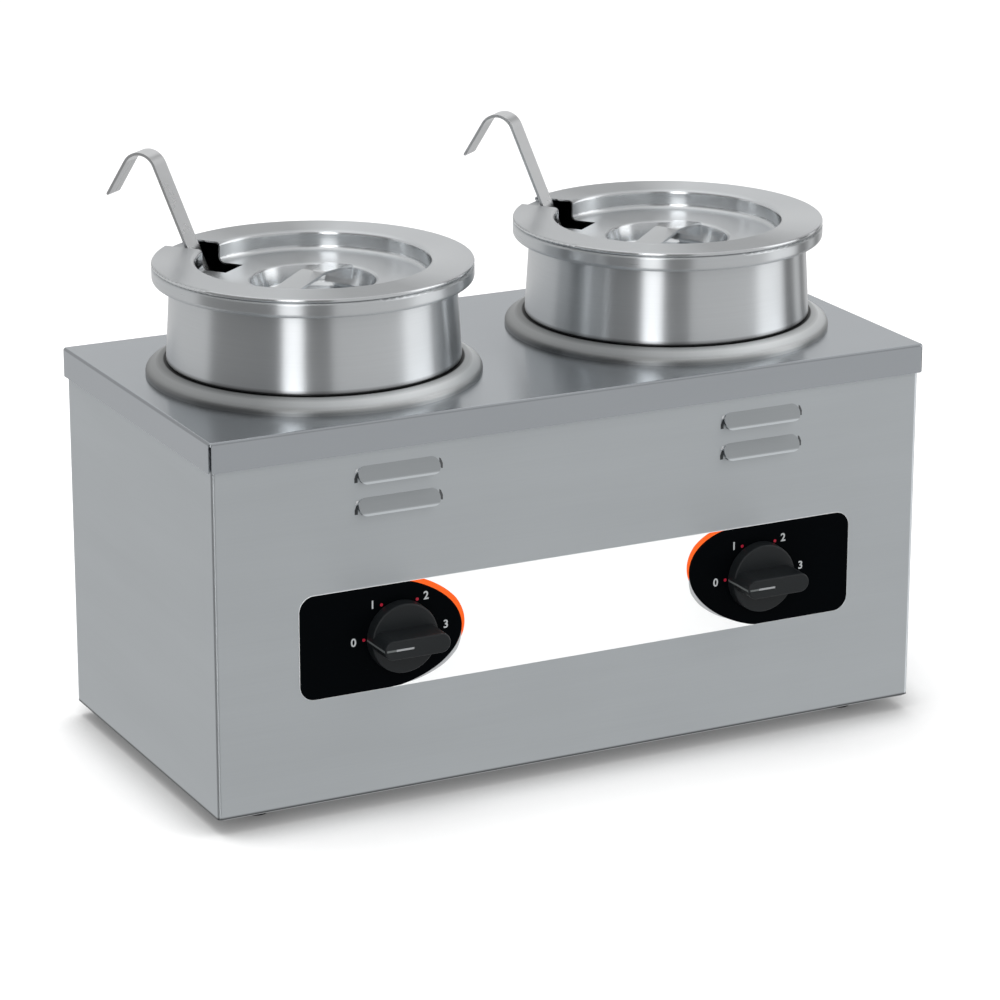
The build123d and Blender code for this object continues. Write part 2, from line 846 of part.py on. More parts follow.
    # Insulation sleeve, open where the switch sits
    with BuildPart() as insulation:
        with BuildSketch(level(deck_top - insulation_bottom)):
            with Locations((pot_x, 0)):
                Circle(well_outer_radius + rest_gap + insulation_thick)
            Rectangle(
                2 * (inner_half_width - insulation_clear),
                2 * (inner_half_depth - insulation_clear),
                mode=Mode.INTERSECT,
            )
            with Locations((pot_x, 0)):
                Circle(well_outer_radius + rest_gap, mode=Mode.SUBTRACT)
                opening = math.radians(insulation_opening / 2)
                reach = 2 * well_outer_radius
                Polygon(
                    (0, 0),
                    (-reach * math.sin(opening), -reach * math.cos(opening)),
                    (reach * math.sin(opening), -reach * math.cos(opening)),
                    align=None,
                    mode=Mode.SUBTRACT,
                )
        extrude(amount=insulation_bottom - insulation_top)
    insulation.part.label = f"{side}_insulation"
    export_step(insulation.part, f"parts/{side}_insulation.step")

    # Tubular heating element: an open ring with two legs turned down
    element_plane = Plane(origin=(pot_x, body_y, deck_top + element_z))
    with BuildPart() as element:
        with BuildLine(element_plane) as ring_path:
            ring_arc = CenterArc(
                (0, 0),
                element_ring_radius,
                -90 + element_gap_angle / 2,
                360 - element_gap_angle,
            )
        with BuildSketch(Plane(origin=ring_arc @ 0, z_dir=ring_arc % 0)):
            Circle(element_radius)
        sweep(path=ring_path.wires()[0])
        for end, way in ((0, -1), (1, 1)):
            tangent = (ring_arc % end) * way
            end_point = ring_arc @ end
            leg_plane = Plane(end_point, x_dir=tangent, z_dir=tangent.cross(Vector(0, 0, 1)))
            with BuildLine(leg_plane) as leg_path:
                JernArc((0, 0), (1, 0), element_bend, -90)
                Line((element_bend, -element_bend), (element_bend, -element_bend - element_leg))
            with BuildSketch(Plane(origin=end_point, z_dir=tangent)):
                Circle(element_radius)
            sweep(path=leg_path.wires()[0])
            leg_foot = leg_plane.from_local_coords(Vector(element_bend, -element_bend - element_leg))
            with BuildSketch(Plane(origin=leg_foot, z_dir=(0, 0, -1))):
                Circle(element_pin_radius)
            extrude(amount=element_pin)
    element.part.label = f"{side}_element"
    export_step(element.part, f"parts/{side}_element.step")

    # Clamp bar, stud and nut that hold the element to the well
    with BuildPart() as clamp_bar:
        with BuildSketch(Plane(origin=(pot_x, body_y, deck_top + clamp_under))):
            SlotOverall(clamp_length, clamp_width)
            Circle(stud_radius + stud_fit, mode=Mode.SUBTRACT)
        extrude(amount=clamp_thick)
    clamp_bar.part.label = f"{side}_clamp_bar"
    export_step(clamp_bar.part, f"parts/{side}_clamp_bar.step")

    with BuildPart() as clamp_stud:
        with BuildSketch(Plane(origin=(pot_x, body_y, deck_top + clamp_under - nut_height - stud_spare))):
            Circle(stud_radius)
        extrude(amount=well_under - clamp_under + nut_height + stud_spare)
    clamp_stud.part.label = f"{side}_clamp_stud"
    export_step(clamp_stud.part, f"parts/{side}_clamp_stud.step")

    with BuildPart() as clamp_nut:
        with BuildSketch(Plane(origin=(pot_x, body_y, deck_top + clamp_under))):
            RegularPolygon(nut_width / 2, 6, major_radius=False)
            Circle(stud_radius + thread_fit, mode=Mode.SUBTRACT)
        extrude(amount=-nut_height)
    clamp_nut.part.label = f"{side}_clamp_nut"
    export_step(clamp_nut.part, f"parts/{side}_clamp_nut.step")

    # Snap-disc temperature limiter on the floor of the well
    limiter_plane = Plane(origin=(pot_x, body_y + limiter_y, deck_top + well_under))
    with BuildPart() as limiter:
        with BuildSketch(limiter_plane):
            Circle(limiter_radius)
            Rectangle(limiter_ear, blade_width)
        extrude(amount=-sheet)
        with BuildSketch(limiter_plane):
            Circle(limiter_radius)
        extrude(amount=-limiter_height)
        with BuildSketch(limiter_plane.offset(-limiter_height)):
            with GridLocations(limiter_radius, 0, 2, 1):
                Rectangle(blade_thick, blade_width)
        extrude(amount=-blade_length)
    limiter.part.label = f"{side}_limiter"
    export_step(limiter.part, f"parts/{side}_limiter.step")

    # Rotary heat switch with blade terminals above and below
    switch_plane = upright(knob_x, switch_face_y, knob_z)
    with BuildPart() as heat_switch:
        with BuildSketch(switch_plane):
            RectangleRounded(switch_width, switch_width, switch_edge)
        extrude(amount=-switch_depth)
        with BuildSketch(switch_plane.offset(-switch_depth / 2)):
            with GridLocations(blade_pitch, switch_width + blade_length, 2, 2):
                Rectangle(blade_width, blade_length)
        extrude(amount=blade_thick)
        with BuildSketch(switch_plane):
            Circle(shaft_radius + shaft_fit)
        extrude(amount=-shaft_in_switch, mode=Mode.SUBTRACT)
        with BuildSketch(switch_plane):
            with GridLocations(0, switch_screw_pitch, 1, 2):
                Circle(switch_screw_radius + thread_fit)
        extrude(amount=-switch_screw_length, mode=Mode.SUBTRACT)
    heat_switch.part.label = f"{side}_heat_switch"
    export_step(heat_switch.part, f"parts/{side}_heat_switch.step")

    # Control knob: a hollow skirt, a grip bar across it and a groove for the pointer
    knob_back = label_thick + knob_gap
    knob_plane = upright(knob_x, front_y - knob_back, knob_z)
    with BuildPart() as knob:
        with BuildSketch(knob_plane):
            Circle(knob_radius)
        extrude(amount=knob_skirt, taper=knob_skirt_taper)
        fillet(knob.edges().sort_by(Axis.Y)[0], knob_edge)
        with BuildSketch(knob_plane):
            SlotOverall(2 * knob_radius, grip_width)
        extrude(amount=knob_reach - knob_back, taper=grip_taper)
        fillet(knob.faces().sort_by(Axis.Y)[0].edges(), grip_edge)
        with BuildSketch(upright(knob_x, front_y - knob_reach, knob_z)):
            with Locations((-knob_radius, 0)):
                Rectangle(pointer_length, pointer_width, align=(Align.MIN, Align.CENTER))
        extrude(amount=-pointer_depth, mode=Mode.SUBTRACT)
        with BuildSketch(knob_plane):
            Circle(knob_recess_radius)
            Circle(knob_boss_radius, mode=Mode.SUBTRACT)
        extrude(amount=knob_recess, mode=Mode.SUBTRACT)
        with BuildSketch(knob_plane):
            Circle(shaft_radius + shaft_fit)
        extrude(amount=shaft_in_knob - knob_back, mode=Mode.SUBTRACT)
    knob.part.label = f"{side}_knob"
    export_step(knob.part, f"parts/{side}_knob.step")

    # Shaft from the switch into the knob
    with BuildPart() as knob_shaft:
        with BuildSketch(upright(knob_x, switch_face_y + shaft_in_switch - rest_gap, knob_z)):
            Circle(shaft_radius)
        extrude(amount=shaft_in_switch - 2 * rest_gap + sheet + shaft_in_knob)
    knob_shaft.part.label = f"{side}_knob_shaft"
    export_step(knob_shaft.part, f"parts/{side}_knob_shaft.step")

# Wiring: block to switch, switch to limiter, limiter to element, element back to the block
pin_angle = math.radians(element_gap_angle / 2)
pin_x = element_ring_radius * math.sin(pin_angle) - element_bend * math.cos(pin_angle)
pin_y = -element_ring_radius * math.cos(pin_angle) - element_bend * math.sin(pin_angle)
pin_z = deck_top + element_z - element_bend - element_leg - element_pin
limiter_blade_z = deck_top + well_under - limiter_height - blade_length
wire_low_z = body_bottom + block_height - block_groove + wire_radius
wire_mid_z = wire_low_z + wire_level
wire_high_z = wire_mid_z + wire_level
wire_start_y = body_y + block_y - block_depth / 4 - switch_head_radius - rest_gap
switch_blade_y = switch_face_y + switch_depth / 2 - blade_thick / 2
switch_blade_z = knob_z - switch_width / 2 - blade_length


def wire_paths(sign):
    """The middle lines of the four wires on one side, seen from the block."""
    pot = sign * well_pitch / 2
    knob = label_x + sign * knob_pitch / 2
    inner_way = sign * block_way_pitch / 2
    outer_way = sign * block_way_pitch * (block_ways - 1) / 2
    inner_blade, outer_blade = knob - sign * blade_pitch / 2, knob + sign * blade_pitch / 2
    inner_pin, outer_pin = pot - sign * pin_x, pot + sign * pin_x
    from_limiter, to_limiter = pot - sign * limiter_radius / 2, pot + sign * limiter_radius / 2
    pins_y = body_y + pin_y
    disc_y = body_y + limiter_y
    aside = pot + sign * wire_side
    return [
        [
            (inner_way, wire_start_y, wire_low_z),
            (inner_way, wire_pass_y, wire_low_z),
            (inner_blade, switch_blade_y + wire_switch_run, wire_low_z),
            (inner_blade, switch_blade_y, wire_low_z),
            (inner_blade, switch_blade_y, switch_blade_z),
        ],
        [
            (outer_blade, switch_blade_y, switch_blade_z),
            (outer_blade, switch_blade_y, wire_high_z),
            (aside, switch_blade_y + wire_switch_run, wire_high_z),
            (aside, body_y, wire_high_z),
            (to_limiter, disc_y, wire_high_z),
            (to_limiter, disc_y, limiter_blade_z),
        ],
        [
            (from_limiter, disc_y, limiter_blade_z),
            (from_limiter, disc_y, wire_mid_z),
            (outer_pin, pins_y + wire_pin_run, wire_mid_z),
            (outer_pin, pins_y, wire_mid_z),
            (outer_pin, pins_y, pin_z),
        ],
        [
            (inner_pin, pins_y, pin_z),
            (inner_pin, pins_y, wire_low_z),
            (inner_pin, pins_y + wire_pin_run, wire_low_z),
            (outer_way, wire_turn_y, wire_low_z),
            (outer_way, wire_start_y, wire_low_z),
        ],
    ]


with BuildPart() as wiring:
    for sign in sides.values():
        for places in wire_paths(sign):
            with BuildLine() as run:
                middle_line = FilletPolyline(*places, radius=wire_bend)
            with BuildSketch(Plane(origin=middle_line @ 0, z_dir=middle_line % 0)):
                Circle(wire_radius)
            sweep(path=run.wires()[0])
wiring.part.label = "wiring"
export_step(wiring.part, "parts/wiring.step")
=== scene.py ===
import json
import math

import bmesh
import bpy
from mathutils import Matrix, Vector


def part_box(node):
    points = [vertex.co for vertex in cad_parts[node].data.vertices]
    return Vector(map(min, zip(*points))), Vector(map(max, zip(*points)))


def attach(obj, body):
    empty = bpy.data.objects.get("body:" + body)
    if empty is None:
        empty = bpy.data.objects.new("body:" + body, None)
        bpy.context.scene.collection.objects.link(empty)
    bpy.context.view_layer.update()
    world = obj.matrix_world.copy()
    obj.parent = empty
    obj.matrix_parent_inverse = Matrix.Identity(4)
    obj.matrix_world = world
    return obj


# Looks of a two-well countertop food warmer, built round its CAD frame.
# Metres, +Z up, the knobs face -Y.

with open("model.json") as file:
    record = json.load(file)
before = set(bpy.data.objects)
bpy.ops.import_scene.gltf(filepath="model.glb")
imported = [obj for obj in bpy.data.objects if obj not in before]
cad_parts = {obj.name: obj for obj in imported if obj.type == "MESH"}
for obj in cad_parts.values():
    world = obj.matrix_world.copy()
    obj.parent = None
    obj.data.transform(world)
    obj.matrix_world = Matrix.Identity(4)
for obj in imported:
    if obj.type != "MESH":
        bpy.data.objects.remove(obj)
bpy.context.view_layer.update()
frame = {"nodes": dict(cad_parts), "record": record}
cad = frame["nodes"]
SIDES = {"left": -1, "right": 1}
MM = 0.001

# The camera, fitted to the edges of the housing in the photograph
CAMERA_PLACE = Vector((-0.9968, -1.9628, 0.8338))
CAMERA_YAW = math.radians(26.92)
CAMERA_PITCH = math.radians(17.66)
CAMERA_ROLL = math.radians(0.094)
CAMERA_LENS = 143.96
CAMERA_SENSOR = 36.0
CAMERA_REACH = 60.0

# Printed label: places are from the middle of the label, seen from the front
PRINT_THICK = 0.05 * MM
PRINT_MARGIN = 0.12 * MM
LABEL_CORNER = 9.0 * MM
ARC_CENTRE = {"left": (-135.4 * MM, 2.0 * MM), "right": (-117.1 * MM, -0.3 * MM)}
ARC_RADII = {"left": (60.0 * MM, 33.0 * MM), "right": (50.2 * MM, 30.1 * MM)}
ARC_TILT = {"left": math.radians(-3.2), "right": math.radians(15.0)}
CRESCENT_WIDTH = 3.1 * MM
TAPER_SLOPE = 2.2
TAPER_POWER = 0.8
CRESCENT_TURNS = {"left": (84, -18), "right": (66, -22)}
BOW_TURNS = {"left": (96, -66), "right": (66, -111)}
BOW_FOOT = {"left": 7.0 * MM, "right": 2.0 * MM}
SHADE_WIDTH = 2.0 * MM
SHADE_RISE = 0.3
SHADE_TURNS = {"left": (-4, -62), "right": (-14, -70)}
DOT_RADIUS = 0.95 * MM
DOT_RING = 21.6 * MM
DOT_ANGLES = (180, 120, 60, 0)
NUMBER_SHIFT = {180: (-6.2, -0.8), 120: (-5.4, 0.6), 60: (5.4, 1.2), 0: (6.6, 1.4)}
NUMBER_HEIGHT = 4.6 * MM
NUMBER_BOLD = 0.12 * MM
CAPITAL_SHARE = 0.7

# Pointer line of the knobs, from the middle of the knob towards off
POINTER_WIDTH = 1.2 * MM
POINTER_START = 2.4 * MM
DASH_END = 13.0 * MM
GROOVE_DEPTH = 0.4 * MM
PAINT_THICK = 0.06 * MM
CREST_START = 19.5 * MM
CREST_SLOPE = math.radians(1.0)
CREST_SHARES = (0.02, 0.5, 0.95)

# Finishes, linear colours
BODY_STEEL = (0.55, 0.58, 0.6)
DECK_STEEL = (0.53, 0.56, 0.59)
RING_STEEL = (0.6, 0.615, 0.62)
POT_STEEL = (0.625, 0.645, 0.66)
LID_STEEL = (0.68, 0.7, 0.715)
LADLE_STEEL = (0.8, 0.81, 0.82)
ZINC = (0.5, 0.51, 0.52)

# Noise scales: along and across the grain of brushed sheet, round and across spun steel,
# and for soft clouds and fine pores
GRAIN_SCALES = (9.0, 900.0)
BAND_SCALES = (5.0, 38.0)
SPUN_SCALES = (1.6, 1100.0)
SHEET_CLOUD = 14.0
SPUN_CLOUD = 22.0
MOULDED_CLOUD = 35.0
METAL_PORES = 900.0

# Heights of the grain and the pores, and how far roughness strays to each side
SHEET_BUMP = 0.006 * MM
SPUN_BUMP = 0.004 * MM
SHEET_STRAY = 0.04
SPUN_STRAY = 0.05
MOULDED_STRAY = 0.04
METAL_STRAY = 0.08
PRINT_PORES = 0.000002
PAINT_PORES = 0.000004

# Painted light and shade in the steels, as grey factors from (value, factor) stops. LEAN goes by
# the upward part of the normal and paints shade on sloping and upright faces, CORNER by the product
# of its X and Y plus a half and paints highlights on the vertical corners, and TURN by the way
# round the well from -X to +X and paints one side darker and the other lighter. ACROSS goes from
# the inner to the outer edge of a ring's band and paints a highlight band on it, and FOOT_SHADE
# paints shade up
# a neck, over NECK_FOOT: its lowest height and its length. HOOD_LIP is the Y in front of which the
# hoods get a painted highlight, and its factor. HEM, RING_GAP, SATIN_RIM and NECK_OUTSIDE are the
# heights or radii between which a tone fades; HEM and RING_GAP fade painted shade.
# painted shade on faces that tilt upward, such as the louvre hoods
HOOD_LEAN = ((0.0, 1.0), (0.04, 1.0), (0.12, 0.69), (0.6, 0.69), (0.9, 1.0))
# painted highlight: the hoods are drawn lighter in front of this Y
HOOD_LIP = (-101.2 * MM, 1.35)
# painted shade: a dark line along the lowest part of the housing, below these heights
HEM = (9.6 * MM, 10.9 * MM)
HEM_SHADE = 0.22
LIP_FADE = 0.4 * MM
# painted shade on the upright faces and bends of the deck cover
CAP_LEAN = ((0.0, 0.84), (0.1, 0.84), (0.3, 0.62), (0.85, 0.62), (0.99, 1.0))
# painted highlights on the rounded vertical corners that face front-right and rear-left
BODY_CORNER = ((0.0, 1.7), (0.35, 1.3), (0.45, 1.0), (0.55, 1.0), (0.65, 1.05), (1.0, 1.0))
# painted shade on the rounded sides of the well rings, lighter on their tops
RING_LEAN = ((0.0, 0.62), (0.5, 0.68), (0.85, 0.9), (0.97, 1.0))
# painted highlight band across the middle of a ring, darker at its edges
RING_ACROSS = ((0.0, 0.8), (0.3, 0.95), (0.5, 1.4), (0.75, 1.3), (1.0, 0.9))
# painted shade: a ring is drawn nearly black inside these radii, for the gap round the inset's neck
RING_GAP = (83.7 * MM, 84.8 * MM)
# painted shade on the left of a ring, painted light on its front and right
RING_TURN = ((0.0, 0.56), (0.15, 0.6), (0.35, 1.0), (0.45, 1.12), (0.75, 1.14), (1.0, 1.14))
# painted shade on the front and rear of a lid's flat parts, a little painted light on its right
LID_TURN = ((0.0, 1.0), (0.2, 0.94), (0.4, 0.66), (0.62, 0.66), (0.8, 1.04), (1.0, 1.1))
EVEN = ((0.0, 1.0), (1.0, 1.0))
RING_BAND = 10.4 * MM
NO_GAP = (0.0, 0.001)
# painted shade: how dark that gap is drawn
GAP_SHADE = 0.03
SATIN_RIM = (30.0 * MM, 36.0 * MM)
SATIN_MORE = 0.16
# painted shade: a dark band round the outside of an inset's neck, just above its ring
NECK_FOOT = (226.0 * MM, 12.0 * MM)
NECK_OUTSIDE = (80.0 * MM, 81.2 * MM)
FOOT_SHADE = ((0.0, 1.0), (0.25, 1.0), (0.35, 0.3), (0.55, 0.3), (0.75, 1.0), (1.0, 1.0))
BLACK_PRINT = (0.0012, 0.0017, 0.0022)
ORANGE_PRINT = (1.0, 0.12, 0.008)
SHADE_PRINT = (0.42, 0.43, 0.44)
MARK_WHITE = (0.42, 0.44, 0.45)
DASH_PAINT = (0.3, 0.31, 0.32)
POINTER_PAINT = (0.11, 0.12, 0.12)
DOT_RED = (0.35, 0.012, 0.03)


def add(tree, kind, links=None, **settings):
    """One node, its settings, and its inputs, each a constant or another node's output."""
    node = tree.nodes.new(kind)
    for name, value in settings.items():
        setattr(node, name, value)
    for name, value in (links or {}).items():
        if isinstance(value, bpy.types.NodeSocket):
            tree.links.new(value, node.inputs[name])
        else:
            node.inputs[name].default_value = value
    return node


def calc(tree, operation, *values):
    """A Math node on numbers or outputs."""
    return add(tree, "ShaderNodeMath", dict(enumerate(values)), operation=operation).outputs[0]


def vector_calc(tree, operation, *values):
    """A Vector Math node."""
    node = add(tree, "ShaderNodeVectorMath", dict(enumerate(values)), operation=operation)
    return node.outputs["Value" if operation == "LENGTH" else "Vector"]


def combine(tree, x, y, z):
    """A vector from three numbers or outputs."""
    return add(tree, "ShaderNodeCombineXYZ", {"X": x, "Y": y, "Z": z}).outputs[0]


def noise(tree, vector, scale, detail=2.0, roughness=0.5):
    """Noise from 0 to 1 at a vector."""
    sockets = {"Vector": vector, "Scale": scale, "Detail": detail, "Roughness": roughness}
    return add(tree, "ShaderNodeTexNoise", sockets).outputs["Fac"]


def spread(tree, value, low, high):
    """Maps 0 to 1 to the range from low to high."""
    sockets = {"Value": value, "To Min": low, "To Max": high}
    return add(tree, "ShaderNodeMapRange", sockets).outputs["Result"]


def ramp_up(tree, value, low, high):
    """A smooth step of a value from low to high."""
    sockets = {"Value": value, "From Min": low, "From Max": high}
    node = add(tree, "ShaderNodeMapRange", sockets, interpolation_type="SMOOTHSTEP")
    return node.outputs["Result"]


def blend(tree, factor, low, high):
    """A mix of two levels."""
    sockets = {"Factor": factor, "A": low, "B": high}
    return add(tree, "ShaderNodeMix", sockets, data_type="FLOAT").outputs["Result"]


def tinted(tree, factor, colour, less, more):
    """A colour that the factor darkens or lightens a little."""
    dark, light = (*(c * less for c in colour), 1), (*(min(1, c * more) for c in colour), 1)
    sockets = {"Factor": factor, "A": dark, "B": light}
    return add(tree, "ShaderNodeMix", sockets, data_type="RGBA").outputs["Result"]


def bump(tree, height, distance, strength=1.0):
    """A Bump node's normal."""
    sockets = {"Height": height, "Distance": distance, "Strength": strength}
    return add(tree, "ShaderNodeBump", sockets).outputs["Normal"]


def new_material(name):
    """An empty material with a Principled shader: (material, tree, shader)."""
    material = bpy.data.materials.new(name)
    material.use_nodes = True
    tree = material.node_tree
    return material, tree, tree.nodes["Principled BSDF"]


def shade_by(tree, value, stops):
    """A grey factor of a value from 0 to 1, from (value, factor) stops."""
    node = add(tree, "ShaderNodeValToRGB", {"Fac": value})
    points = node.color_ramp.elements
    while len(points) > 1:
        points.remove(points[-1])
    most = max(factor for _, factor in stops)
    for i, (place, factor) in enumerate(stops):
        point = points[0] if i == 0 else points.new(place)
        point.position = place
        point.color = (*[factor / most] * 3, 1)
    return calc(tree, "MULTIPLY", node.outputs["Color"], most)


def shaded(tree, colour, *factors):
    """A colour times grey factors."""
    for factor in factors:
        colour = vector_calc(tree, "MULTIPLY", colour, combine(tree, factor, factor, factor))
    return colour


def stretched(tree, along, across, scales):
    """A noise place from two directions, each with its own scale."""
    along, across = (calc(tree, "MULTIPLY", v, s) for v, s in zip((along, across), scales))
    return combine(tree, along, across, 0.0)


def brushed_sheet(name, colour, roughness, stretch, lines, smudge, lean, corner, lip=(-1.0, 1.0)):
    """Stainless sheet with its grain along the walls, and along X where it lies flat, and with
    painted shade and highlights by lean, at the corners, on the hood lips and along the hem.
    """
    material, tree, shader = new_material(name)
    place = add(tree, "ShaderNodeTexCoord").outputs["Object"]
    xyz = add(tree, "ShaderNodeSeparateXYZ", {0: place}).outputs
    facing = add(tree, "ShaderNodeNewGeometry").outputs["Normal"]
    facing = add(tree, "ShaderNodeSeparateXYZ", {0: facing}).outputs
    level = calc(tree, "ABSOLUTE", facing["Z"])
    upright = calc(tree, "SUBTRACT", 1.0, level)
    along = calc(tree, "ADD", xyz["X"], calc(tree, "MULTIPLY", xyz["Y"], upright))
    across = calc(tree, "ADD", xyz["Z"], calc(tree, "MULTIPLY", xyz["Y"], level))
    fine = noise(tree, stretched(tree, along, across, GRAIN_SCALES), 1.0, 4.0, 0.6)
    wide = noise(tree, stretched(tree, along, across, BAND_SCALES), 1.0, 3.0)
    cloud = noise(tree, place, SHEET_CLOUD, 3.0)
    broad = calc(tree, "ADD", calc(tree, "MULTIPLY", wide, 0.4), calc(tree, "MULTIPLY", cloud, 0.3))
    tone = calc(tree, "ADD", calc(tree, "MULTIPLY", fine, 0.3), broad)
    tone = tinted(tree, tone, colour, 1 - lines, 1 + lines)
    # Painted highlights and shade: by lean, at the corners, on the hood lips, and a dark hem along
    # the lowest edge
    turned = calc(tree, "ADD", calc(tree, "MULTIPLY", facing["X"], facing["Y"]), 0.5)
    edge = blend(tree, ramp_up(tree, xyz["Y"], lip[0], lip[0] + LIP_FADE), lip[1], 1.0)
    hem = blend(tree, ramp_up(tree, xyz["Z"], *HEM), HEM_SHADE, 1.0)
    by_lean, by_corner = shade_by(tree, facing["Z"], lean), shade_by(tree, turned, corner)
    tone = shaded(tree, tone, by_lean, by_corner, edge, hem)
    tree.links.new(tone, shader.inputs["Base Color"])
    rough = spread(tree, fine, roughness - SHEET_STRAY, roughness + SHEET_STRAY)
    smudged = calc(tree, "ADD", rough, calc(tree, "MULTIPLY", cloud, smudge))
    tree.links.new(smudged, shader.inputs["Roughness"])
    tree.links.new(combine(tree, 0.0, level, upright), shader.inputs["Tangent"])
    tree.links.new(bump(tree, fine, SHEET_BUMP), shader.inputs["Normal"])
    shader.inputs["Metallic"].default_value = 1
    shader.inputs["Anisotropic"].default_value = stretch
    return material


def spun_steel(name, colour, roughness, stretch, lines, centre, lean=EVEN, around=EVEN, gap=NO_GAP):
    """Spun stainless round an upright axis, its grain in circles, with painted light and shade:
    dark inside the gap's radii, a dark band at the foot of a neck, a highlight band across a ring,
    and tones by lean and by the way round.
    """
    material, tree, shader = new_material(name)
    place = add(tree, "ShaderNodeTexCoord").outputs["Object"]
    arm = vector_calc(tree, "SUBTRACT", place, (centre[0], centre[1], 0.0))
    xyz = add(tree, "ShaderNodeSeparateXYZ", {0: arm}).outputs
    flat = combine(tree, xyz["X"], xyz["Y"], 0.0)
    radius = vector_calc(tree, "LENGTH", flat)
    turn = add(tree, "ShaderNodeSeparateXYZ", {0: vector_calc(tree, "NORMALIZE", flat)}).outputs
    across = calc(tree, "MULTIPLY", calc(tree, "ADD", xyz["Z"], radius), SPUN_SCALES[1])
    round_x, round_y = (calc(tree, "MULTIPLY", turn[axis], SPUN_SCALES[0]) for axis in "XY")
    grain = combine(tree, round_x, round_y, across)
    fine = noise(tree, grain, 1.0, 4.0, 0.6)
    cloud = noise(tree, place, SPUN_CLOUD, 3.0)
    tone = calc(tree, "ADD", calc(tree, "MULTIPLY", fine, 0.7), calc(tree, "MULTIPLY", cloud, 0.3))
    facing = add(tree, "ShaderNodeNewGeometry").outputs["Normal"]
    level = calc(tree, "ABSOLUTE", add(tree, "ShaderNodeSeparateXYZ", {0: facing}).outputs["Z"])
    # painted shade: a ring is drawn dark inside the radii of its gap
    inner = calc(tree, "MAXIMUM", ramp_up(tree, radius, *gap), GAP_SHADE)
    # painted shade at the foot of a neck on pots and lids; on a ring, its gap shade and a painted
    # highlight band across it
    if gap is NO_GAP:
        height = calc(tree, "DIVIDE", calc(tree, "SUBTRACT", xyz["Z"], NECK_FOOT[0]), NECK_FOOT[1])
        outside = ramp_up(tree, radius, *NECK_OUTSIDE)
        painted_light_bands = blend(tree, outside, 1.0, shade_by(tree, height, FOOT_SHADE))
    else:
        across_ring = calc(tree, "DIVIDE", calc(tree, "SUBTRACT", radius, gap[0]), RING_BAND)
        painted_light_bands = calc(tree, "MULTIPLY", inner, shade_by(tree, across_ring, RING_ACROSS))
    # painted light and shade by the way round the well, only on the flat parts of pots and lids
    facing_round = calc(tree, "ADD", calc(tree, "MULTIPLY", turn["X"], 0.5), 0.5)
    round_shade = shade_by(tree, facing_round, around)
    if gap is NO_GAP:
        round_shade = blend(tree, level, 1.0, round_shade)
    tint = tinted(tree, tone, colour, 1 - lines, 1 + lines)
    tint = shaded(tree, tint, shade_by(tree, level, lean), round_shade, painted_light_bands)
    tree.links.new(tint, shader.inputs["Base Color"])
    satin = calc(tree, "MULTIPLY", level, SATIN_MORE)
    satin = calc(tree, "MULTIPLY", ramp_up(tree, radius, *SATIN_RIM), satin)
    rough = spread(tree, tone, roughness - SPUN_STRAY, roughness + SPUN_STRAY)
    tree.links.new(calc(tree, "ADD", rough, satin), shader.inputs["Roughness"])
    ring = vector_calc(tree, "CROSS_PRODUCT", (0.0, 0.0, 1.0), flat)
    tree.links.new(vector_calc(tree, "CROSS_PRODUCT", facing, ring), shader.inputs["Tangent"])
    tree.links.new(bump(tree, fine, SPUN_BUMP), shader.inputs["Normal"])
    shader.inputs["Metallic"].default_value = 1
    shader.inputs["Anisotropic"].default_value = stretch
    return material


def plain_metal(name, colour, roughness, mottle, scale=60.0, pores=0.00001):
    """Metal with mottled colour and roughness and no grain."""
    material, tree, shader = new_material(name)
    place = add(tree, "ShaderNodeTexCoord").outputs["Object"]
    cloud = noise(tree, place, scale, 4.0)
    tree.links.new(tinted(tree, cloud, colour, 1 - mottle, 1 + mottle), shader.inputs["Base Color"])
    rough = spread(tree, cloud, roughness - METAL_STRAY, roughness + METAL_STRAY)
    tree.links.new(rough, shader.inputs["Roughness"])
    tree.links.new(bump(tree, noise(tree, place, METAL_PORES), pores), shader.inputs["Normal"])
    shader.inputs["Metallic"].default_value = 1
    return material


def moulded(name, colour, roughness, specular, mottle=0.1, pores=0.00001, scale=1500.0):
    """Plastic, rubber, print film, ceramic or fibre."""
    material, tree, shader = new_material(name)
    place = add(tree, "ShaderNodeTexCoord").outputs["Object"]
    cloud = noise(tree, place, MOULDED_CLOUD, 3.0)
    tree.links.new(tinted(tree, cloud, colour, 1 - mottle, 1 + mottle), shader.inputs["Base Color"])
    rough = spread(tree, cloud, roughness - MOULDED_STRAY, roughness + MOULDED_STRAY)
    tree.links.new(rough, shader.inputs["Roughness"])
    tree.links.new(bump(tree, noise(tree, place, scale, 3.0), pores), shader.inputs["Normal"])
    shader.inputs["Specular IOR Level"].default_value = specular
    return material


def dress(node, material):
    """Gives a CAD node its material."""
    mesh = cad[node].data
    mesh.materials.clear()
    mesh.materials.append(material)


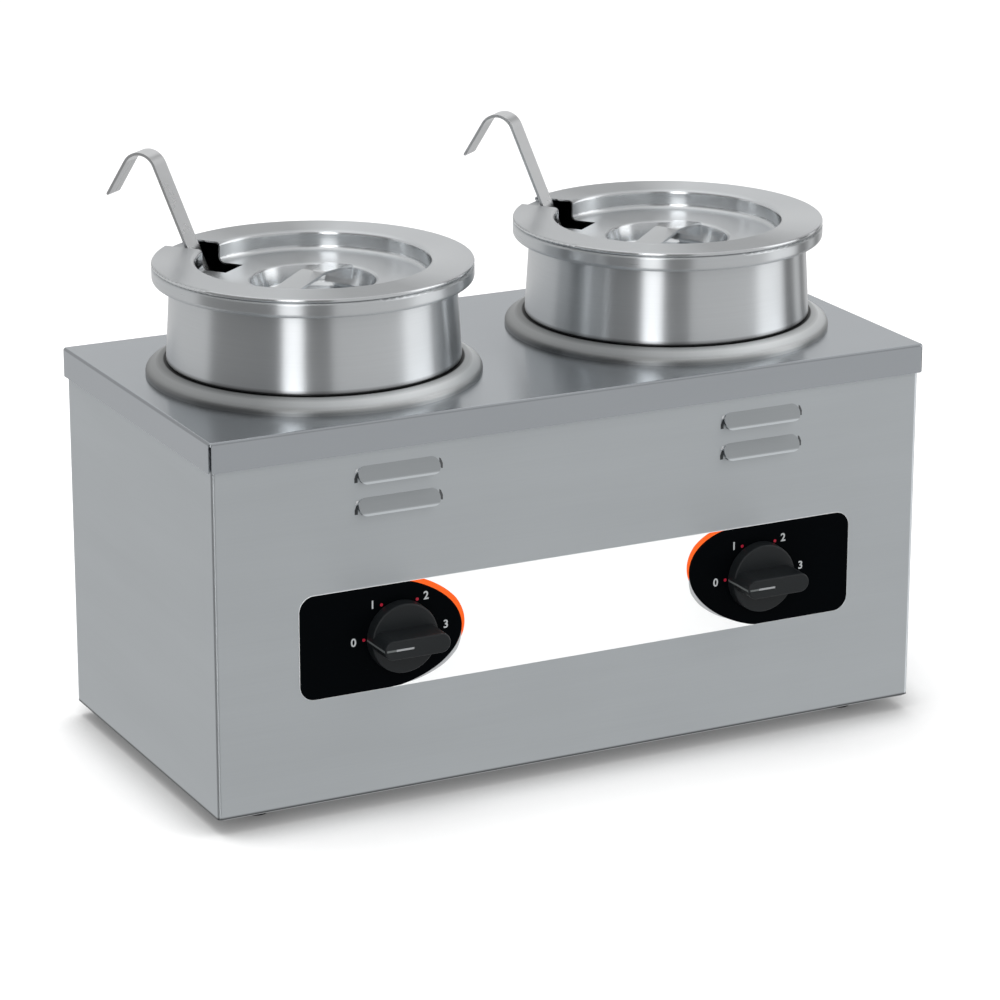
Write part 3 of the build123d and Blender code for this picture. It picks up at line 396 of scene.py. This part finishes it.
# Materials of the CAD nodes, by the record's slots. Deck and lids have materials of their own: a
# finish of their own, with painted shade and light in their colours.
well_middle = {}
for side in SIDES:
    low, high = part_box(f"{side}_inset")
    well_middle[side] = (low + high) / 2
body_steel = brushed_sheet(
    "body_steel", BODY_STEEL, roughness=0.4, stretch=0.75, lines=0.12, smudge=0.06,
    lean=HOOD_LEAN, corner=BODY_CORNER, lip=HOOD_LIP,
)
deck_steel = brushed_sheet(
    "deck_steel", DECK_STEEL, roughness=0.21, stretch=0.8, lines=0.05, smudge=0.03,
    lean=CAP_LEAN, corner=EVEN,
)
by_slot = {
    "zinc_steel": plain_metal("zinc_steel", ZINC, 0.38, mottle=0.12),
    "element_steel": plain_metal("element_steel", (0.16, 0.14, 0.13), 0.5, mottle=0.3),
    "foot_rubber": moulded("foot_rubber", (0.008, 0.008, 0.009), 0.8, 0.15, pores=0.00003),
    "label_film": moulded(
        "label_film", (0.93, 0.94, 0.94), 0.22, 0.3, mottle=0.01, pores=0.000003
    ),
    "knob_plastic": moulded(
        "knob_plastic", (0.009, 0.0108, 0.012), 0.4, 0.26, mottle=0.15, pores=0.000012, scale=2400.0
    ),
    "black_plastic": moulded("black_plastic", (0.02, 0.02, 0.021), 0.5, 0.4),
    "ceramic": moulded("ceramic", (0.78, 0.75, 0.68), 0.3, 0.5),
    "glass_wool": moulded(
        "glass_wool", (0.82, 0.77, 0.56), 0.95, 0.1, mottle=0.25, pores=0.0004, scale=500.0
    ),
    "brass_parts": plain_metal("brass_parts", (0.72, 0.52, 0.22), 0.3, mottle=0.1),
    "wire_cover": moulded(
        "wire_cover", (0.5, 0.05, 0.03), 0.6, 0.3, mottle=0.2, pores=0.00005, scale=900.0
    ),
    "ladle_steel": plain_metal(
        "ladle_steel", LADLE_STEEL, 0.28, mottle=0.04, scale=30.0, pores=0.000001
    ),
}
spun = {}
for side in SIDES:
    at = well_middle[side]
    spun[side, "ring_steel"] = spun_steel(
        f"{side}_ring_steel", RING_STEEL, roughness=0.38, stretch=0.6, lines=0.03, centre=at,
        lean=RING_LEAN, around=RING_TURN, gap=RING_GAP,
    )
    spun[side, "pot_steel"] = spun_steel(
        f"{side}_pot_steel", POT_STEEL, roughness=0.29, stretch=0.95, lines=0.06, centre=at
    )
    spun[side, "lid_steel"] = spun_steel(
        f"{side}_lid_steel", LID_STEEL, roughness=0.18, stretch=0.87, lines=0.03, centre=at,
        around=LID_TURN,
    )

for row in frame["record"]["subparts"]:
    node, slot = row["node"], row["material_slot"]
    side = node.split("_")[0]
    if "_lid" in node:
        dress(node, spun[side, "lid_steel"])
    elif (side, slot) in spun:
        dress(node, spun[side, slot])
    elif slot == "body_steel":
        dress(node, deck_steel if node == "deck_cover" else body_steel)
    else:
        dress(node, by_slot[slot])

# Printed label
label_low, label_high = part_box("control_label")
label_middle = (label_low + label_high) / 2
label_half = (label_high - label_low) / 2
knob_middle = {}
for side in SIDES:
    low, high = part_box(f"{side}_knob")
    knob_middle[side] = (low + high) / 2


def new_object(name, mesh, material, body):
    """A finished piece that rides on a body."""
    mesh.materials.append(material)
    piece = bpy.data.objects.new(name, mesh)
    bpy.context.scene.collection.objects.link(piece)
    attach(piece, body)
    return piece


def plates(name, outlines, front, thick, material, body):
    """Thin flat plates facing -Y, from outlines of (x, z) points, their fronts at y = front."""
    made = bmesh.new()
    for outline in outlines:
        near = [made.verts.new((x, front, z)) for x, z in outline]
        far = [made.verts.new((x, front + thick, z)) for x, z in outline]
        made.faces.new(near)
        made.faces.new(far[::-1])
        for i, corner in enumerate(near):
            after = (i + 1) % len(near)
            made.faces.new((corner, far[i], far[after], near[after]))
    bmesh.ops.recalc_face_normals(made, faces=made.faces)
    bmesh.ops.triangulate(made, faces=[f for f in made.faces if len(f.verts) > 4])
    mesh = bpy.data.meshes.new(name)
    made.to_mesh(mesh)
    made.free()
    return new_object(name, mesh, material, body)


def arc(centre, radius, start, end, steps=48):
    """Points on a circle, angles in degrees from +X towards +Z."""
    turns = [math.radians(start + (end - start) * i / steps) for i in range(steps + 1)]
    return [(centre[0] + radius * math.cos(t), centre[1] + radius * math.sin(t)) for t in turns]


def on_label(points):
    """From the middle of the label to the row frame."""
    return [(label_middle.x + x, label_middle.z + z) for x, z in points]


def arc_point(side, sign, turn, reach=0.0):
    """A point on the arc that ends a black area, or this far outside it."""
    centre, (long, short), tilt = ARC_CENTRE[side], ARC_RADII[side], ARC_TILT[side]
    turn = math.radians(turn)
    along, up = (long + reach) * math.cos(turn), (short + reach) * math.sin(turn)
    x = centre[0] + along * math.cos(tilt) - up * math.sin(tilt)
    z = centre[1] + along * math.sin(tilt) + up * math.cos(tilt)
    limit = label_half.z - PRINT_MARGIN
    return (-sign * x, max(-limit, min(limit, z)))


def black_end(side, sign):
    """The black area from one end of the label to its arc."""
    edge = label_half.x - PRINT_MARGIN
    top = label_half.z - PRINT_MARGIN
    corner = LABEL_CORNER - PRINT_MARGIN
    start, end = BOW_TURNS[side]
    bow = [arc_point(side, sign, turn) for turn in range(start, end - 1, -3)]
    bow = [(bow[0][0], top)] + bow + [(bow[-1][0] + sign * BOW_FOOT[side], -top)]
    low_corner = arc((edge - corner, corner - top), corner, -90, 0, 12)
    high_corner = arc((edge - corner, top - corner), corner, 0, 90, 12)
    return on_label(bow + [(sign * x, z) for x, z in low_corner + high_corner])


def crescent(side, sign, start, end, widest, rise=0.0):
    """A band that hugs the arc of a black end and tapers towards its far end."""
    steps = 40
    inner, outer = [], []
    for i in range(steps + 1):
        share = i / steps
        turn = start + (end - start) * share
        width = widest * min(1.0, TAPER_SLOPE * (1 - share)) ** TAPER_POWER
        if rise:
            width *= min(1.0, share / rise)
        inner.append(arc_point(side, sign, turn))
        outer.append(arc_point(side, sign, turn, width))
    return on_label(inner + outer[::-1])


print_front = label_low.y - PRINT_THICK
black_print = moulded("black_print", BLACK_PRINT, 0.3, 0.01, 0.1, PRINT_PORES)
orange_print = moulded("orange_print", ORANGE_PRINT, 0.3, 0.2, 0.02, PRINT_PORES)
shade_print = moulded("shade_print", SHADE_PRINT, 0.3, 0.2, 0.02, PRINT_PORES)
mark_print = moulded("mark_print", MARK_WHITE, 0.35, 0.2, 0.02, PRINT_PORES)
dot_print = moulded("dot_print", DOT_RED, 0.35, 0.2, 0.02, PRINT_PORES)

for side, sign in SIDES.items():
    shapes = {
        "black": (black_end(side, sign), black_print),
        "arc": (crescent(side, sign, *CRESCENT_TURNS[side], CRESCENT_WIDTH), orange_print),
        "shade": (crescent(side, sign, *SHADE_TURNS[side], SHADE_WIDTH, SHADE_RISE), shade_print),
    }
    for layer, (name, (outline, ink)) in enumerate(shapes.items()):
        front = print_front - layer * PRINT_THICK / 4
        plates(f"{side}_label_{name}", [outline], front, PRINT_THICK, ink, "warmer")


def dial_point(side, angle, ring):
    """A point on a ring round a knob, on the label."""
    turn, knob = math.radians(angle), knob_middle[side]
    return (knob.x + ring * math.cos(turn), knob.z + ring * math.sin(turn))


def number(name, text, place, height, front):
    """A generic number printed on the label."""
    words = bpy.data.curves.new(name, "FONT")
    words.body = text
    words.size = height / CAPITAL_SHARE
    words.align_x = "CENTER"
    words.align_y = "CENTER"
    words.extrude = PRINT_THICK / 2
    words.offset = NUMBER_BOLD
    holder = bpy.data.objects.new(name, words)
    bpy.context.scene.collection.objects.link(holder)
    bpy.context.view_layer.update()
    mesh = bpy.data.meshes.new_from_object(holder)
    bpy.data.objects.remove(holder)
    turn = Matrix.Rotation(math.radians(90), 4, "X")
    mesh.transform(Matrix.Translation((place[0], front + PRINT_THICK / 2, place[1])) @ turn)
    mesh.materials.clear()
    return new_object(name, mesh, mark_print, "warmer")


for side in SIDES:
    dots = [arc(dial_point(side, angle, DOT_RING), DOT_RADIUS, 0, 330, 11) for angle in DOT_ANGLES]
    front = print_front - PRINT_THICK
    plates(f"{side}_dial_dots", dots, front, PRINT_THICK, dot_print, "warmer")
    for step, angle in enumerate(DOT_ANGLES):
        dot = dial_point(side, angle, DOT_RING)
        place = (dot[0] + NUMBER_SHIFT[angle][0] * MM, dot[1] + NUMBER_SHIFT[angle][1] * MM)
        number(f"{side}_dial_number_{step}", str(step), place, NUMBER_HEIGHT, front)


def swept_line(name, path, half, paint, body):
    """A painted line of even width that follows (x, y, z) points of one height."""
    made = bmesh.new()
    rows = []
    for x, y, z in path:
        rows.append([made.verts.new((x, y, z + way * half)) for way in (-1, 1)])
    for low, high in zip(rows, rows[1:]):
        made.faces.new((low[0], high[0], high[1], low[1]))
    mesh = bpy.data.meshes.new(name)
    made.to_mesh(mesh)
    made.free()
    return new_object(name, mesh, paint, body)


pointer_paint = moulded("pointer_paint", POINTER_PAINT, 0.4, 0.3, 0.1, PAINT_PORES)
dash_paint = moulded("dash_paint", DASH_PAINT, 0.4, 0.3, 0.1, PAINT_PORES)
for side in SIDES:
    low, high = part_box(f"{side}_knob")
    centre = knob_middle[side]
    floor_y = low.y + GROOVE_DEPTH - PAINT_THICK
    edge = (high.x - low.x) / 2 + PAINT_THICK
    depth = high.y - low.y
    crest = [
        (centre.x - edge + share * depth * math.tan(CREST_SLOPE), high.y - share * depth, centre.z)
        for share in CREST_SHARES
    ]
    bend = [
        (centre.x - CREST_START, floor_y + GROOVE_DEPTH, centre.z),
        (centre.x - CREST_START + MM, floor_y, centre.z),
    ]
    end = (centre.x - DASH_END, floor_y, centre.z)
    line = crest + bend + [end]
    dash = [end, (centre.x - POINTER_START, floor_y, centre.z)]
    half, body = POINTER_WIDTH / 2, f"{side}_control"
    swept_line(f"{side}_pointer", line, half, pointer_paint, body)
    swept_line(f"{side}_pointer_dash", dash, half, dash_paint, body)

# Painted shade in the lanced ends of the louvres, as thin dark plates on their slits, with a
# painted highlight over the left ones
LOUVRE_HALF = 24.4 * MM
LOUVRE_BASES = (162.0 * MM, 180.0 * MM)
LEFT_SLIT = ((-1.7, 0.4), (0.2, 0.4), (0.2, 6.2), (-0.8, 5.2), (-1.7, 3.0))
RIGHT_SLIT = ((0.5, 4.0), (1.6, 1.8), (2.5, 1.8), (2.5, 4.6), (1.3, 7.4), (0.3, 8.0))
GLINT = ((-1.2, 6.1), (0.4, 6.6), (0.6, 8.3), (-0.6, 7.9))

# dark plates paint the shade in the slits, and a bright plate paints a highlight
slit_shade = plain_metal("slit_shade", (0.09, 0.095, 0.1), 0.6, 0.1)
slit_shade_grey = plain_metal("slit_shade_grey", (0.15, 0.155, 0.16), 0.6, 0.1)
glint_light = plain_metal("glint_light", (0.93, 0.94, 0.95), 0.5, 0.02)
shell_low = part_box("body_shell")[0].z
marks = {
    "slit_shade": (LEFT_SLIT, -1, slit_shade),
    "slit_shade_grey": (RIGHT_SLIT, 1, slit_shade_grey),
    "glint": (GLINT, -1, glint_light),
}
for name, (outline, end, paint) in marks.items():
    ends = [
        (knob_middle[side].x + end * LOUVRE_HALF, shell_low + base)
        for side in SIDES for base in LOUVRE_BASES
    ]
    outlines = [[(x + dx * MM, z + dz * MM) for dx, dz in outline] for x, z in ends]
    front = label_high.y - PRINT_THICK
    plates(f"louvre_{name}", outlines, front, PRINT_THICK, paint, "warmer")

# Cross recesses of the screws that show, as thin dark plates that also paint the shade in them
CROSS_LENGTH = 3.6 * MM
CROSS_WIDTH = 0.7 * MM
CROSS_THICK = 0.05 * MM
WELD_DISTANCE = 0.00001
# painted shade inside the cross recesses
recess_shade = plain_metal("recess_shade", (0.03, 0.03, 0.03), 0.6, 0.1)
on_side = Matrix.Rotation(math.radians(90), 4, "X")


def islands(node):
    """The boxes of the separate solids of a CAD node, in an order that is always the same."""
    made = bmesh.new()
    made.from_mesh(cad[node].data)
    bmesh.ops.remove_doubles(made, verts=made.verts, dist=WELD_DISTANCE)
    left, boxes = set(made.verts), []
    while left:
        reached, edge = set(), [left.pop()]
        while edge:
            vert = edge.pop()
            reached.add(vert)
            for link in vert.link_edges:
                other = link.other_vert(vert)
                if other in left:
                    left.discard(other)
                    edge.append(other)
        places = [cad[node].matrix_world @ vert.co for vert in reached]
        low = Vector([min(p[i] for p in places) for i in range(3)])
        high = Vector([max(p[i] for p in places) for i in range(3)])
        boxes.append((low, high))
    made.free()
    return sorted(boxes, key=lambda box: tuple(box[0]))


def crosses(node, turn, side_of):
    """Thin dark plates on the heads of a row of screws, for their cross recesses and the painted
    shade in them.
    """
    made = bmesh.new()
    for low, high in islands(node):
        face = side_of(low, high)
        for size in ((CROSS_LENGTH, CROSS_WIDTH), (CROSS_WIDTH, CROSS_LENGTH)):
            shape = Matrix.Diagonal((size[0], size[1], CROSS_THICK, 1))
            bmesh.ops.create_cube(made, size=1, matrix=Matrix.Translation(face) @ turn @ shape)
    mesh = bpy.data.meshes.new(f"{node}_crosses")
    made.to_mesh(mesh)
    made.free()
    return new_object(f"{node}_crosses", mesh, recess_shade, "warmer")


def rear_face(low, high):
    """The middle of a head that faces the rear."""
    middle = (low + high) / 2
    return Vector((middle.x, high.y, middle.z))


def under_face(low, high):
    """The middle of a head that faces down."""
    middle = (low + high) / 2
    return Vector((middle.x, middle.y, low.z))


crosses("rear_screws", on_side, rear_face)
crosses("deck_screws", on_side, rear_face)
crosses("base_screws", Matrix.Identity(4), under_face)
crosses("foot_screws", Matrix.Identity(4), under_face)

# Floor
FLOOR_RADIUS = 12.0
FLOOR_CORNERS = 96
FLOOR_WHITE = 0.82
FLOOR_LIFT = 0.28
SHADOW_SAMPLES = 6
SHADOW_REACH = 0.16
SHADOW_SHADE = ((0.0, 0.8), (0.5, 0.86), (0.9, 0.98), (1.0, 1.0))
CONTACT_REACH = 0.032
CONTACT_SHADE = ((0.0, 0.38), (0.1, 0.5), (0.5, 0.55), (0.9, 1.0))
floor_mesh = bpy.data.meshes.new("floor")
made = bmesh.new()
bmesh.ops.create_circle(made, cap_ends=True, radius=FLOOR_RADIUS, segments=FLOOR_CORNERS)
made.to_mesh(floor_mesh)
made.free()
floor = bpy.data.objects.new("floor", floor_mesh)
bpy.context.scene.collection.objects.link(floor)
floor.visible_glossy = False
floor_material = bpy.data.materials.new("floor")
floor_material.use_nodes = True
tree = floor_material.node_tree
tree.nodes.clear()
ray = add(tree, "ShaderNodeLightPath").outputs
shadows = []
for reach, shades in ((CONTACT_REACH, CONTACT_SHADE), (SHADOW_REACH, SHADOW_SHADE)):
    open_air = add(tree, "ShaderNodeAmbientOcclusion", {"Distance": reach}, samples=SHADOW_SAMPLES)
    shadows.append(shade_by(tree, open_air.outputs["AO"], shades))
near = calc(tree, "MULTIPLY", *shadows)
shade = calc(tree, "MULTIPLY", near, FLOOR_WHITE)
matt = add(tree, "ShaderNodeBsdfDiffuse", {"Color": combine(tree, shade, shade, shade)})
seen = calc(tree, "MULTIPLY", calc(tree, "MULTIPLY", ray["Is Camera Ray"], near), FLOOR_LIFT)
lift = add(tree, "ShaderNodeEmission", {"Strength": seen})
both = add(tree, "ShaderNodeAddShader", {0: matt.outputs[0], 1: lift.outputs[0]})
add(tree, "ShaderNodeOutputMaterial", {"Surface": both.outputs[0]})
floor_mesh.materials.append(floor_material)

# Studio: white behind the object, with strip lights and dark gaps beside the camera, as
# (degrees from -Y towards +X, level) stops
STUDIO = (
    (-180, 0.68), (-116, 0.68), (-110, 0.3), (-49.5, 0.24), (-47, 3.0), (-34, 3.0), (-31.5, 0.25),
    (-12, 0.27), (-9, 0.62), (46, 0.68), (54, 1.9), (76, 1.9), (84, 0.22), (97, 0.22),
    (100, 0.85), (108, 0.85), (111, 0.25), (120, 0.25), (126, 0.68), (180, 0.68),
)
LOW_LIMIT = 0.7
LOW_FADE = (-0.25, 0.05)
SKY_FADE = (0.55, 0.8)
SKY = 0.95
world = bpy.data.worlds.new("studio")
bpy.context.scene.world = world
world.use_nodes = True
tree = world.node_tree
tree.nodes.clear()
way = add(tree, "ShaderNodeTexCoord").outputs["Generated"]
way = add(tree, "ShaderNodeSeparateXYZ", {0: way}).outputs
bearing = calc(tree, "ARCTAN2", way["X"], calc(tree, "MULTIPLY", way["Y"], -1.0))
share = calc(tree, "ADD", calc(tree, "DIVIDE", bearing, 2 * math.pi), 0.5)
bands = shade_by(tree, share, [(angle / 360 + 0.5, level) for angle, level in STUDIO])
low_bands = calc(tree, "MINIMUM", bands, LOW_LIMIT)
walls = blend(tree, ramp_up(tree, way["Z"], *LOW_FADE), low_bands, bands)
mixed = blend(tree, ramp_up(tree, way["Z"], *SKY_FADE), walls, SKY)
ray = add(tree, "ShaderNodeLightPath").outputs
level = blend(tree, ray["Is Camera Ray"], mixed, 1.0)
sky = add(tree, "ShaderNodeBackground", {"Color": (1.0, 1.0, 1.0, 1), "Strength": level})
add(tree, "ShaderNodeOutputWorld", {"Surface": sky.outputs[0]})


def lamp(name, place, target, size, power):
    """A soft area lamp, left out of the reflections, which come from the studio."""
    data = bpy.data.lights.new(name, "AREA")
    data.shape = "DISK"
    data.size = size
    data.energy = power
    holder = bpy.data.objects.new(name, data)
    bpy.context.scene.collection.objects.link(holder)
    holder.location = place
    holder.rotation_mode = "QUATERNION"
    holder.rotation_quaternion = (Vector(target) - Vector(place)).to_track_quat("-Z", "Y")
    holder.visible_glossy = False


lamp("top_lamp", place=(-0.3, 0.5, 2.2), target=(0, 0, 0.1), size=1.6, power=22)
lamp("front_lamp", place=(-0.7, -2.2, 1.2), target=(0, 0, 0.15), size=1.2, power=16)

# Camera
camera_data = bpy.data.cameras.new("camera")
camera_data.lens = CAMERA_LENS
camera_data.sensor_width = CAMERA_SENSOR
camera_data.clip_end = CAMERA_REACH
camera = bpy.data.objects.new("camera", camera_data)
bpy.context.scene.collection.objects.link(camera)
turn = Matrix.Rotation(-CAMERA_YAW, 4, "Z") @ Matrix.Rotation(math.pi / 2 - CAMERA_PITCH, 4, "X")
camera.matrix_world = Matrix.Translation(CAMERA_PLACE) @ turn @ Matrix.Rotation(CAMERA_ROLL, 4, "Z")
bpy.context.scene.camera = camera
bpy.context.scene.view_settings.view_transform = "Standard"
